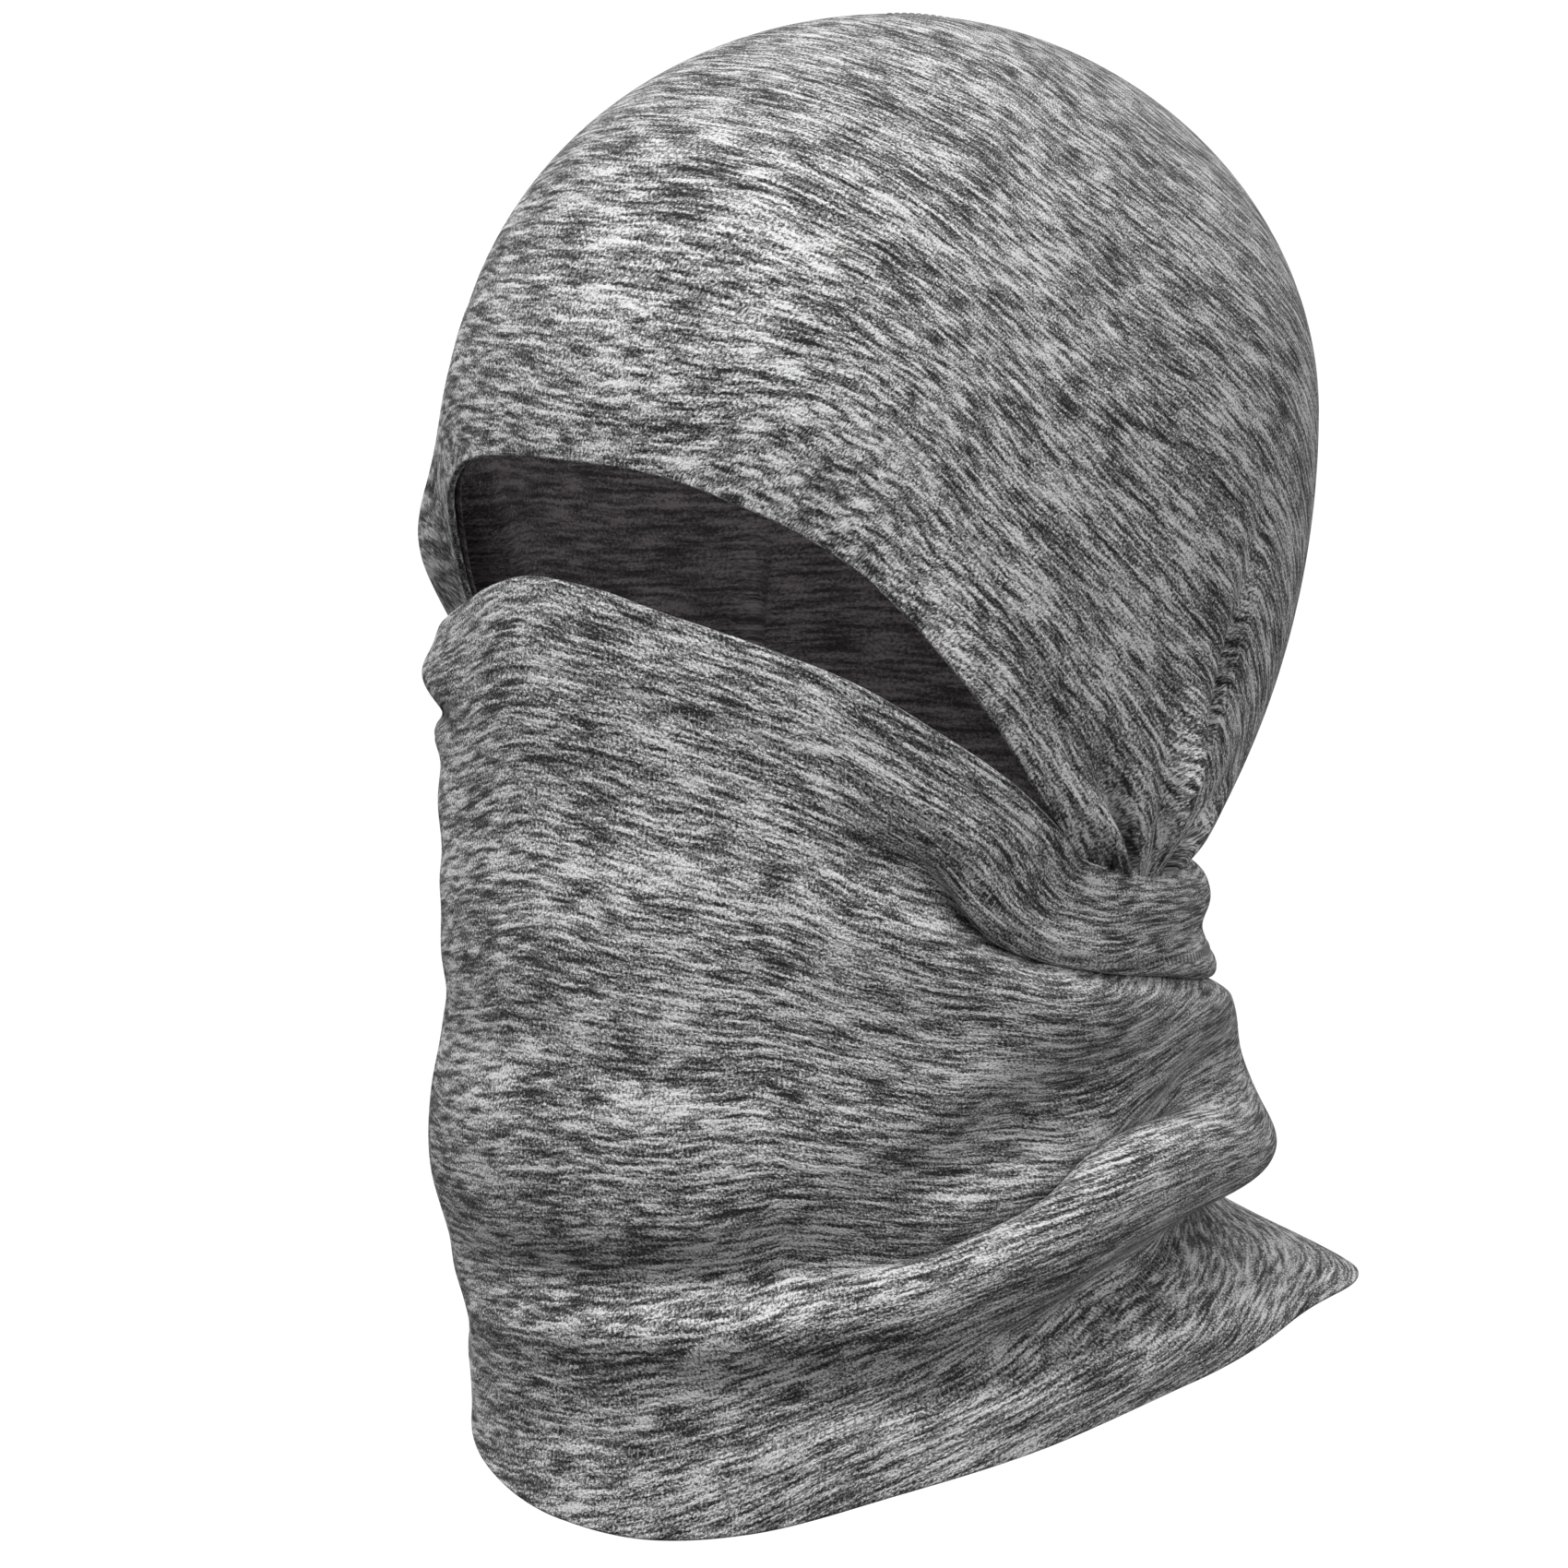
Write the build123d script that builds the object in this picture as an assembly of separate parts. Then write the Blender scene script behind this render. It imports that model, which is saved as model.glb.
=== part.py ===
"""Two-layer fleece balaclava, standing as it is worn: a hood, a face mask and a neck tube.

The wearer faces -Y, +X is the wearer's left and +Z is up. The origin is in the middle of
the head cavity, level with the brow edge. All sizes are in millimetres.

Every layer of cloth is a closed shell, the space between two insets of one simple form:
an egg for the hood, a ball turned about the line between the ears for the mask, and a loft
of ellipses for the neck tube. Each is then cut to its outline in the side view.

The hood folds back about the nape, where it is sewn to the neck tube. The mask swings down
about the line between the ear gathers, and its lower part slips inside the neck tube.
"""

from build123d import *
from math import copysign, cos, pi, sin
import os

os.makedirs("parts", exist_ok=True)

# Cloth layers, as insets from the outside of the garment.
OUTER = (0.0, 1.4)
TAPE = (1.5, 2.2)
LINING = (2.3, 3.6)
LABEL = (3.7, 4.1)
THREAD = (-0.42, -0.02)

# The hood's egg: half sizes, and the height of its widest level.
HEAD_LONG_R = 106.0
HEAD_SIDE_R = 86.0
CROWN_H = 88.0
NAPE_H = 130.0
HEAD_MID_Z = 7.0

# The mask's ball, round the line between the ear gathers. Above 2 is squarer than an ellipse.
EARS = (15.0, -83.0)
MASK_R = 124.0
MASK_SIDE_R = 69.0
MASK_SQUARE = 2.3
PROFILE_STEPS = 16

# Sections of the neck tube: height, half width, half depth, centre in Y.
NECK_SECTIONS = [
    (-84, 79.0, 88.0, -20.0),
    (-104, 79.0, 91.0, -19.0),
    (-126, 80.0, 94.0, -16.5),
    (-150, 82.0, 98.0, -10.0),
    (-175, 84.0, 101.0, -5.0),
    (-244, 85.0, 104.0, -1.0),
]

# Edges in the side view, as (Y, Z) points from the back to the front.
BROW_EDGE = [(15, -83), (-10, -74.5), (-46, -47.5), (-72, -22.5), (-90, -8.5), (-104, 0), (-130, 4)]
MASK_EDGE = [(11, -84.5), (-31, -72.5), (-56, -60), (-76, -50), (-102, -34), (-130, -14)]
HEM_EDGE = [(140, -179), (92, -181), (45, -188), (-5, -204), (-70, -229.5), (-98, -236), (-130, -238)]
MASK_FOOT = [(11, -84.5), (4, -100), (-20, -119), (-130, -119)]
HOOD_FOOT = [(15, -83), (78, -86.5), (140, -86.5)]
NECK_TOP = [(140, -88), (16, -88), (4, -92), (-12, -112), (-130, -112)]

# Hems: tape near each edge, and a row of sewing where the turned cloth is caught down.
BROW_ROW = 28.0
MASK_ROW = 20.0
HEM_ROW = 18.0
ROW_WIDTH = 2.6
TAPE_WIDTH = 8.0
TAPE_FROM_EDGE = 4.0
SEAM_HALF = 0.8

REACH = 160.0  # past every outline


def head_form(inset):
    """The egg-shaped hood, made smaller all round by inset."""
    long_r = HEAD_LONG_R - inset
    above = Rectangle(long_r, CROWN_H, align=(Align.MIN, Align.MIN))
    below = Rectangle(long_r, NAPE_H, align=(Align.MIN, Align.MAX))
    crown = Ellipse(long_r, CROWN_H - inset) & above
    nape = Ellipse(long_r, NAPE_H - inset) & below
    round_head = revolve(Plane.XZ * crown, Axis.Z) + revolve(Plane.XZ * nape, Axis.Z)
    narrow = scale(round_head, by=((HEAD_SIDE_R - inset) / long_r, 1, 1))
    return Pos(0, 0, HEAD_MID_Z) * narrow


def mask_form(inset):
    """The mask's ball, made smaller all round by inset."""
    profile = []
    for step in range(PROFILE_STEPS + 1):
        turn = pi * step / PROFILE_STEPS
        along, out = cos(turn), sin(turn)
        x = (MASK_SIDE_R - inset) * copysign(abs(along) ** (2 / MASK_SQUARE), along)
        profile.append((x, (MASK_R - inset) * abs(out) ** (2 / MASK_SQUARE)))
    profile[0], profile[-1] = (MASK_SIDE_R - inset, 0), (inset - MASK_SIDE_R, 0)
    edge = Spline(*profile, tangents=[(0, 1), (0, -1)])
    ball = revolve(make_face([edge, Line(profile[-1], profile[0])]), Axis.X)
    return Pos(0, *EARS) * ball


def neck_form(inset):
    """The lofted neck tube, made smaller all round by inset."""
    return loft([Pos(0, y, z) * Ellipse(a - inset, b - inset) for z, a, b, y in NECK_SECTIONS])


def layer(form, insets):
    """The shell between two insets of one form."""
    return form(insets[0]) - form(insets[1])


def side_prism(outline):
    """A prism across the whole width, from a closed outline in the side view."""
    return extrude(Plane.YZ * make_face(outline), REACH, both=True)


def above(points, shift=(0, 0)):
    """Everything straight above a smooth edge, which runs from the back to the front."""
    moved = [(y + shift[0], z + shift[1]) for y, z in points]
    back, front = moved[0], moved[-1]
    return side_prism([Spline(*moved), Polyline(front, (front[0], REACH), (back[0], REACH), back)])


def hood_strip(start, width):
    """A strip of the hood along the brow edge, from start to start + width away from it."""
    near, far = [(0.55 * d, 0.84 * d) for d in (start, start + width)]
    return (above(BROW_EDGE, near) - above(BROW_EDGE, far)) & hood_outline()


def mask_strip(start, width):
    """A strip of the mask, from start to start + width below its top edge."""
    return (above(MASK_EDGE, (0, -start - width)) - above(MASK_EDGE, (0, -start))) & mask_outline()


def hem_strip(start, width):
    """A strip of the neck tube, from start to start + width above the bottom hem."""
    return above(HEM_EDGE, (0, start)) - above(HEM_EDGE, (0, start + width))


def hood_outline():
    """Over the brow edge in front of the ears, and over the nape seam behind them."""
    front, back = BROW_EDGE[-1], HOOD_FOOT[-1]
    frame = Polyline(front, (front[0], REACH), (back[0], REACH), *reversed(HOOD_FOOT))
    return side_prism([Spline(*BROW_EDGE), frame])


def mask_outline():
    """Under the mask's top edge, in front of the ears, down to its foot inside the neck."""
    frame = Polyline(MASK_EDGE[-1], *reversed(MASK_FOOT))
    return side_prism([Spline(*MASK_EDGE), frame])


def neck_outline():
    """Under the nape seam and the mask, down to the hem."""
    sides = Polyline(HEM_EDGE[0], *NECK_TOP, HEM_EDGE[-1])
    return side_prism([Spline(*HEM_EDGE), sides])


def slab(x_from, x_to, z_from, z_to, y_from):
    """A box reaching back from y_from."""
    align = (Align.MIN, Align.MIN, Align.MIN)
    box = Box(x_to - x_from, REACH, z_to - z_from, align=align)
    return Pos(x_from, y_from, z_from) * box


def hood_parts():
    outline = hood_outline()
    back_seam = slab(-SEAM_HALF, SEAM_HALF, -84, REACH, 0)
    return {
        "hood_outer": layer(head_form, OUTER) & outline,
        "hood_lining": layer(head_form, LINING) & outline,
        "brow_elastic": layer(head_form, TAPE) & hood_strip(TAPE_FROM_EDGE, TAPE_WIDTH),
        "brow_hem_stitching": layer(head_form, THREAD) & hood_strip(BROW_ROW, ROW_WIDTH),
        "hood_back_seam": layer(head_form, THREAD) & back_seam,
    }


def mask_parts():
    outline = mask_outline()
    return {
        "mask_outer": layer(mask_form, OUTER) & outline,
        "mask_lining": layer(mask_form, LINING) & outline,
        "mask_elastic": layer(mask_form, TAPE) & mask_strip(TAPE_FROM_EDGE, TAPE_WIDTH),
        "mask_hem_stitching": layer(mask_form, THREAD) & mask_strip(MASK_ROW, ROW_WIDTH),
    }


def neck_parts():
    outline = neck_outline()
    top_z = NECK_TOP[0][1]
    tape = slab(-REACH, REACH, top_z - TAPE_FROM_EDGE - TAPE_WIDTH, top_z - TAPE_FROM_EDGE, 20)
    nape_row = slab(-REACH, REACH, top_z - 3 - ROW_WIDTH, top_z - 3, 20)
    back_seam = slab(-SEAM_HALF, SEAM_HALF, -158, top_z - 8, 0)
    label = slab(8, 34, top_z - 52, top_z - 2, 0)
    return {
        "neck_outer": layer(neck_form, OUTER) & outline,
        "neck_lining": layer(neck_form, LINING) & outline,
        "nape_elastic": layer(neck_form, TAPE) & tape,
        "nape_seam_stitching": layer(neck_form, THREAD) & nape_row,
        "neck_back_seam": layer(neck_form, THREAD) & back_seam,
        "bottom_hem_stitching": layer(neck_form, THREAD) & hem_strip(HEM_ROW, ROW_WIDTH),
        "care_label": layer(neck_form, LABEL) & label,
    }


for parts in (hood_parts(), mask_parts(), neck_parts()):
    for name, shape in parts.items():
        export_step(shape, f"parts/{name}.step")
        box = shape.bounding_box()
        print(name, len(shape.solids()), round(shape.volume), box.min, box.max)
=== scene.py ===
"""Heather fleece balaclava: one cloth for the mask and neck tube, one for the hood.

Shapes are worked out in millimetres, in the row frame: the wearer faces -Y, +X is the
wearer's left, +Z is up. Angles round the neck are in degrees, 0 at the nose, 90 at the
wearer's left ear and 180 at the nape. Angles round the ears are 0 at the nape, 90 at the
crown and 180 ahead.
"""

import math

import bmesh
import bpy
import numpy as np
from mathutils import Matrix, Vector


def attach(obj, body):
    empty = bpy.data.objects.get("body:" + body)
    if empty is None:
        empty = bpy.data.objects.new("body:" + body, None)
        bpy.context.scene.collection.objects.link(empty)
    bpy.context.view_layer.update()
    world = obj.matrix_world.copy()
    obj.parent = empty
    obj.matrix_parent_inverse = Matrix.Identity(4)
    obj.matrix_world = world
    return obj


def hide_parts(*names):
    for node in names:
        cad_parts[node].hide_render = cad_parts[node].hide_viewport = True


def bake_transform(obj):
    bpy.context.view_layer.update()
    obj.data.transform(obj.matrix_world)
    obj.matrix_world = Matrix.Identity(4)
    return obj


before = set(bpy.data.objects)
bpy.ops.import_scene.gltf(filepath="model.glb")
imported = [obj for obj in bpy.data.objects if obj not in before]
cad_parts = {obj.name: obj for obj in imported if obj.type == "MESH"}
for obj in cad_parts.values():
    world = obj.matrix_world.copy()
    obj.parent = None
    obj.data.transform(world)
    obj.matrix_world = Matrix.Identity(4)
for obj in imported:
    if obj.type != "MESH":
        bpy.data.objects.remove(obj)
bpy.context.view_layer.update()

MM = 0.001

# ---------------------------------------------------------------- the garment's sizes

# The hood's egg.
CROWN_Z = 94.5
WIDEST_Z = 3.0
CROWN_H = CROWN_Z - WIDEST_Z
NAPE_H = 128.0  # how fast it narrows below its widest level, front to back
JAW_H = 165.0  # and side to side
HEAD_HALF_WIDTH = 86.0
HEAD_HALF_LENGTH = 106.0
SQUARE = 2.1  # 2 is an ellipse, and more is squarer
CROWN_LEAN = 0.000004  # the crown leans ahead, more with height

# The line between the ears, where the hood and the mask are gathered.
EAR_Y = 15.0
EAR_Z = -103.0

# The brow edge and the nape seam, in degrees round the ears. 90 is the middle of the face.
BROW_TURN = [(0, 158), (18, 152), (33, 146), (42, 142), (51, 139.5), (61, 137.5), (75, 138),
             (90, 139)]
NAPE_TURN = [(0, -3), (45, -2), (90, -2)]
GATHER_END = 5.0  # the hood starts this many degrees from the ears' line

# The tube's sections: height, half width, half length, centre in Y.
TUBE = [
    (-20, 84, 104, -4),
    (-50, 85.5, 105.5, -4),
    (-80, 81, 101, -8),
    (-98, 75, 93, -19),
    (-117, 75, 92, -20.5),
    (-130, 77, 95, -16.5),
    (-144, 79, 98.5, -15.5),
    (-162, 83, 103.5, -9),
    (-178, 84, 104, -4),
    (-188, 84.5, 104.5, -3),
    (-200, 87.5, 110, 8),
    (-216, 87, 108, 7),
    (-240, 88, 108, 5),
]

# The tube's edges: height at each angle round the neck.
MASK_TOP = [
    (-180, -96), (-110, -94.5), (-95, -92), (-87, -88), (-80, -80.5), (-70, -70), (-60, -60),
    (-50, -51), (-35, -41.5), (-20, -34), (-10, -28.5), (0, -24.5), (10, -26), (20, -30.5),
    (35, -37.5), (50, -47.5), (60, -57.5), (70, -68.5), (80, -80.5), (87, -88), (95, -92),
    (110, -94.5),
]
HEM = [
    (-180, -189), (-150, -190), (-120, -195), (-90, -202), (-60, -211), (-40, -218.5),
    (-20, -227), (0, -234.5), (14, -236.5), (30, -234), (50, -225.5), (70, -217), (90, -206.5),
    (110, -197.5), (135, -192.5),
]

# The grain of the cloth. The hood's is level at the forehead and slopes down behind it.
TUBE_RADIUS = 93.0  # its mean, which turns degrees into millimetres of cloth
GRAIN_LENGTH = 185.0  # down the tube
GRAIN_TWIST = 0.25  # how much the tube's grain rises to the wearer's left, at the hem
GRAIN_UP = 0.81
GRAIN_SLOPE = 0.85
GRAIN_TURNS = (-78.0, -8.0)  # where the slope sets in, and where it eases again
GRAIN_EASES = 0.42
GRAIN_TURN_OVER = 9.0
LEVEL_SLOPE = 0.1  # the same slope in the lining
GATHER_SIDE = 17.0  # the grain runs in to the gathers from this many degrees away
GATHER_SOFT = 4.0
GATHER_BACK = 75.0  # behind this pleat, round the ears, the grain is turned to run in too
GATHER_TURNED = 0.08
GATHER_PULL = 1.6  # millimetres of cloth in each of those degrees
SEAM_SLANT = 0.7  # how much the two halves of the hood slant down to the back seam
SEAM_SHIFT = 50.0
SEAM_AHEAD = (5.0, 85.0)  # how far ahead, across the grain, the slant sets in and ends

# Cloth.
OUTER = 1.6
LINING_GAP = 0.5
LINING = 1.3
TAPE = 0.3
TAPE_GAP = 0.1  # between the outer cloth and the elastic
TAPE_WIDTH = 8.0
TAPE_FROM_EDGE = 4.0
BAND_TURN = 96.0  # where the mask's elastic ends and the nape's begins
BROW_RADIUS = 137.5  # from the ears' line to the brow edge, in the middle of the face
LINING_FROM_BROW = 0.35  # degrees round the ears, from the brow edge to the lining's own edge
LABEL_TURN = 8.0
LABEL_TOP = 3.0
LABEL_LENGTH = 42.0
LABEL_THICK = 0.3
LABEL_GAP = 0.5
HEM_STEP = 0.45  # a turned hem stands this much proud
HEM_SOFT = 1.5  # half the width over which it does so
ROW_DENT = 0.5  # how far a row of sewing pulls in
ROW_DENT_WIDTH = 1.3

# Sewing: how far each row is from its edge, and the loops of thread.
BROW_ROW = 28.0
MASK_ROW = 20.0
HEM_ROW = 18.0
BROW_ROW_STARTS = 22.0  # degrees from the ears' line
STITCH_PITCH = 2.3
STITCH_SPAN = 2.9
STITCH_RISE = 0.42  # how far a loop stands out in its middle
STITCH_SINK = 0.1  # and how far its ends sink in
STITCH_R = 0.17
STITCH_SIDES = 6
STITCH_RINGS = 5
HOOD_SEAM_RADIUS = 150.0
NECK_SEAM_RADIUS = 90.0
HOOD_SEAM_STARTS = 95.0  # at the crown, in degrees round the ears

# Mesh fineness.
ROW_STEP = 1.2
COLUMN_STEP = 1.9
HOOD_COLUMNS = 300
HOOD_SCALE = 2.9  # millimetres in a degree round the ears, at most
ROLL_STEPS = 5
CLOTH_JUMP = 15.0  # a bigger step of the cloth coordinates in one face is a seam
EDGE_PUFF = 1.15  # a rolled edge is this much fatter than the cloth


# ---------------------------------------------------------------- curves


def curve(points, period=None):
    """A smooth function through (x, y) points, flat past its ends, or repeating."""
    x, y = np.array(points, float).T
    if period:
        x = np.concatenate([x[-2:] - period, x, x[:2] + period])
        y = np.concatenate([y[-2:], y, y[:2]])
    slope = np.gradient(y, x)

    def at(q):
        q = np.asarray(q, float)
        if period:
            q = (q - points[0][0]) % period + points[0][0]
        q = np.clip(q, x[0], x[-1])
        i = np.clip(np.searchsorted(x, q, "right") - 1, 0, len(x) - 2)
        h = x[i + 1] - x[i]
        t = (q - x[i]) / h
        near = (2 * t**3 - 3 * t**2 + 1) * y[i] + (t**3 - 2 * t**2 + t) * h * slope[i]
        far = (3 * t**2 - 2 * t**3) * y[i + 1] + (t**3 - t**2) * h * slope[i + 1]
        return near + far

    return at


def bell(x, centre, width):
    """1 at centre, falling smoothly to nothing over about two widths."""
    return np.exp(-(((x - centre) / width) ** 2))


def ramp(x, low, high):
    """0 up to low, 1 from high, and smooth between."""
    t = np.clip((x - low) / (high - low), 0, 1)
    return t * t * (3 - 2 * t)


def wrap(degrees):
    """The same angle between -180 and 180."""
    return (np.asarray(degrees, float) + 180) % 360 - 180


# ---------------------------------------------------------------- the tube


FOLD_TIGHT = 3.2  # how quickly the cloth turns back, in millimetres along it
FOLD_LEAD = 0.8 * FOLD_TIGHT  # how much further down the cloth it does so
# The roll below a fold, as shares of its lip. First how far out it stands and where it rises and
# falls, then dents and swells with their middles and widths, in millimetres down the cloth.
ROLL_SHARE = 1.2
OVERHANG_ROLL = (9, 16, 19, 42)
OVERHANG_SWELLS = [(0.5, -10, 6), (-1.9, 4, 6.5)]
LAP_ROLL = (-2, 7, 9, 34)
LAP_SWELLS = [(-1.8, -3.5, 8)]
# How far in the lining keeps clear of a fold, as a share of its lip, and where.
LINING_CLEAR = 1.9
LINING_CLEAR_FROM_LINE = -2.0
LINING_CLEAR_WIDTH = 14.0


class Fold:
    """An overlap round part of the tube, where the cloth doubles back up and comes down again.

    line gives its height at each angle, depth how far it doubles back, and lip how far the
    roll below it stands out. An overhang has the cloth above it in front, and otherwise the
    roll below it is in front.
    """

    def __init__(self, line, depth, lip, overhang=False):
        self.line, self.depth, self.lip = (curve(p) for p in (line, depth, lip))
        self.first, self.overhang = lip[0][0], overhang

    def at(self, turn):
        """Its line, depth and lip at these angles, counted on past the back."""
        turn = np.where(turn < self.first, turn + 360, turn)
        return self.line(turn), np.maximum(self.depth(turn), 0), np.maximum(self.lip(turn), 0)

    def out(self, x, lip):
        """How far out the cloth is, x millimetres down the cloth from the fold's middle."""
        rises, full, falls, ends = OVERHANG_ROLL if self.overhang else LAP_ROLL
        share = ROLL_SHARE * ramp(x, rises, full) * (1 - ramp(x, falls, ends))
        for stands, middle, width in OVERHANG_SWELLS if self.overhang else LAP_SWELLS:
            share += stands * bell(x, middle, width)
        return lip * share


# Under the nape band: from the left cheek round the back to the right ear.
NAPE_FOLD = Fold(
    line=[(48, -74), (60, -81), (70, -90), (78, -99.5), (90, -106.5), (100, -110), (110, -112),
          (120, -114.5), (135, -117.5), (180, -120), (225, -117), (250, -108), (275, -95)],
    depth=[(54, 0), (68, 3), (80, 6.5), (100, 8), (140, 8), (200, 6), (240, 4), (265, 0)],
    lip=[(44, 0), (58, 2.2), (80, 4.0), (98, 4.0), (115, 2.8), (140, 2.8), (170, 4), (200, 4),
         (240, 3), (270, 0)],
    overhang=True,
)
# The big roll that sweeps down from the back of the neck to the front.
SWEEP_FOLD = Fold(
    line=[(-60, -186), (-30, -186), (0, -184), (25, -180), (50, -174), (60, -172), (70, -168.2),
          (80, -163), (90, -155.3), (100, -150), (110, -146.8), (120, -143), (150, -136)],
    depth=[(40, 0), (50, 3.0), (62, 6), (80, 8), (98, 8), (108, 5), (117, 1.5), (126, 0)],
    lip=[(-50, 0), (-20, 1.5), (10, 3), (40, 4.0), (60, 5), (80, 6), (100, 5.5), (115, 4),
         (130, 2), (150, 0)],
)
FOLDS = [NAPE_FOLD, SWEEP_FOLD]

# Smooth hollows and ridges: height line, depth at each angle (in is negative), and width.
VALLEYS = [
    # under the big roll, above the flared hem
    ([(10, -207), (40, -202), (60, -199.5), (70, -196), (80, -191), (90, -184), (100, -180),
      (125, -177), (180, -175), (250, -178)],
     [(10, 0), (40, -3), (60, -7), (80, -11), (100, -15), (120, -22), (150, -22), (180, -7),
      (240, -3), (280, 0)], 7.5),
    # between the fold under the nape band and the big roll
    ([(30, -172), (60, -160), (80, -149), (100, -138), (115, -132)],
     [(30, 0), (60, -7.0), (80, -11.0), (95, -9), (115, -2), (125, 0)], 11.0),
]

# The ridge of the nose and the chin: how far out, and width in degrees.
NOSE = (4.0, 13)
NOSE_ENDS = (4, 75)  # it fades between these, down from the edge
CHIN = (1.5, 30)
CHIN_DOWN = (75, 30)  # its middle and height

# Where the bottom hem curls out at the back on the left: how far, its angle and its width.
HEM_TIP = (9.0, 136, 16)
HEM_TIP_HEIGHT = 12

# The nape band's two bulges and the gutter at its edge: how far out, how far down, and width.
NAPE_BAND = [(2.8, 9, 5), (1.8, 24, 6), (-6.5, -1, 3.2)]
NAPE_BAND_FROM = (85, 112)  # where it sets in, round from the nose on each side

# Where the cloth bunches on the right cheek and jaw: height, how far out, and width.
RIGHT_PUFFS = [(-52, 3.8, 6), (-60, -1.8, 3), (-66, 2, 4), (-80, 2.2, 9), (-97, 0.8, 5),
               (-121, -1.6, 6), (-160, 1, 16), (-195, -2.8, 6), (-215, -2.2, 22)]
RIGHT_PUFFS_TURN = (-48, 24)  # and their angle and width round the neck


def valley_depth(turn, z):
    """How far the smooth hollows move the cloth out, in millimetres."""
    total = np.zeros(np.broadcast(turn, z).shape)
    for line, depth, width in VALLEYS:
        start, end = depth[0][0], depth[-1][0]
        at = np.where(turn < start, turn + 360, turn)
        inside = (at >= start) & (at <= end)
        total += np.where(inside, curve(depth)(at) * bell(z, curve(line)(at), width), 0)
    return total


TUBE_ARRAY = np.array(TUBE, float)[::-1]
tube_half_width = curve(TUBE_ARRAY[:, [0, 1]].tolist())
tube_half_length = curve(TUBE_ARRAY[:, [0, 2]].tolist())
tube_centre = curve(TUBE_ARRAY[:, [0, 3]].tolist())
mask_top = curve(MASK_TOP, 360)
hem_height = curve(HEM, 360)


def tube_length(turn, folded=True):
    """The cloth's length down the tube, with what the folds take up."""
    taken = sum(2 * fold.at(turn)[1] for fold in FOLDS)
    return mask_top(turn) - hem_height(turn) + folded * taken


def tube_points(turn, down, folded=True):
    """Places on the tube: turn in degrees and down in millimetres from the top edge.

    Without its folds it is the plain wall that the lining follows, clear inside the folds.
    """
    turn, down = np.broadcast_arrays(wrap(turn), down)
    top = mask_top(turn)
    z = top - down
    out = np.zeros(z.shape)
    used = np.zeros(z.shape)
    for fold in FOLDS:
        line, depth, lip = fold.at(turn)
        if not folded:
            out -= LINING_CLEAR * lip * bell(z, line + LINING_CLEAR_FROM_LINE, LINING_CLEAR_WIDTH)
            continue
        x = down - (top - line + used + depth + FOLD_LEAD)
        z = z + depth * (1 + np.tanh(x / FOLD_TIGHT))
        out += fold.out(x, lip)
        used = used + 2 * depth
    out += valley_depth(turn, z)
    out += tube_details(turn, down, z)
    return on_section(turn, z, out)


def on_section(turn, z, out):
    """Places at this angle and height of the tube, out from its section."""
    a, b, y = tube_half_width(z), tube_half_length(z), tube_centre(z)
    s, c = np.sin(np.radians(turn)), np.cos(np.radians(turn))
    px = a * np.sign(s) * np.abs(s) ** (2 / SQUARE)
    py = -b * np.sign(c) * np.abs(c) ** (2 / SQUARE)
    nx, ny = px / a**2, py / b**2
    n = np.hypot(nx, ny)
    return np.stack([px + out * nx / n, y + py + out * ny / n, z], -1)


def turned_hem(from_edge, row):
    """How far out a turned hem stands, down to the row of sewing that pulls it in."""
    proud = HEM_STEP * (1 - ramp(from_edge, row - HEM_SOFT, row + HEM_SOFT))
    return proud - ROW_DENT * bell(from_edge, row, ROW_DENT_WIDTH)


def tube_details(turn, down, z):
    """The nose, the chin, the turned hems and the small wrinkles."""
    left = tube_length(turn) - down
    out = NOSE[0] * bell(turn, 0, NOSE[1]) * (1 - ramp(down, *NOSE_ENDS))
    out += CHIN[0] * bell(turn, 0, CHIN[1]) * bell(down, *CHIN_DOWN)
    out += turned_hem(down, MASK_ROW) + turned_hem(left, HEM_ROW)
    stands, middle, width = HEM_TIP
    out += stands * bell(turn, middle, width) * (1 - ramp(left, 0, HEM_TIP_HEIGHT))
    back = ramp(np.abs(turn), *NAPE_BAND_FROM)
    for stands, middle, width in NAPE_BAND:
        out += back * stands * bell(down, middle, width)
    for height, stands, width in RIGHT_PUFFS:
        out += stands * bell(turn, *RIGHT_PUFFS_TURN) * bell(z, height, width)
    return out


# ---------------------------------------------------------------- the hood

brow_turn = curve(BROW_TURN + [(180 - a, t) for a, t in BROW_TURN[-2::-1]])
nape_turn = curve(NAPE_TURN + [(180 - a, t) for a, t in NAPE_TURN[-2::-1]])


# The creases at the gathers: angle round the ears, depth, width, and how far they reach.
PLEATS = [(126, 9.0, 3.4, 38), (75, 17.0, 2.8, 54), (44, 4.0, 7, 42), (14, 5.0, 7, 38)]
PLEAT_FADES = 12  # degrees from the ears' line, where they start to fade
# The rolls of cloth between them: angle, how far they stand out, and width.
LOBES = [(138, 6.0, 7), (112, 4.0, 10), (87, 9.0, 8), (56, 1.0, 9), (30, 2.0, 10)]
LOBES_SIDE = (20, 11)  # their middle and width, in degrees from the ears' line

# The brow edge stands out at the temples: how far, how far behind the edge, and width.
BROW_SCALE = 2.4  # millimetres in a degree round the ears, at the edge
LEFT_FLARE = (9.0, 0, 28)
LEFT_TEMPLE = (50, 17)  # its middle and width, in degrees from the ears' line
# The right one rolls in at its edge, and is wider below its middle than above it.
RIGHT_FLARES = [(24.0, 12, 10), (3.0, -2, 9)]
RIGHT_TEMPLE = 47
RIGHT_BELOW = 26
RIGHT_ABOVE = 14
RIGHT_STARTS = (12, 30)

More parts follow.
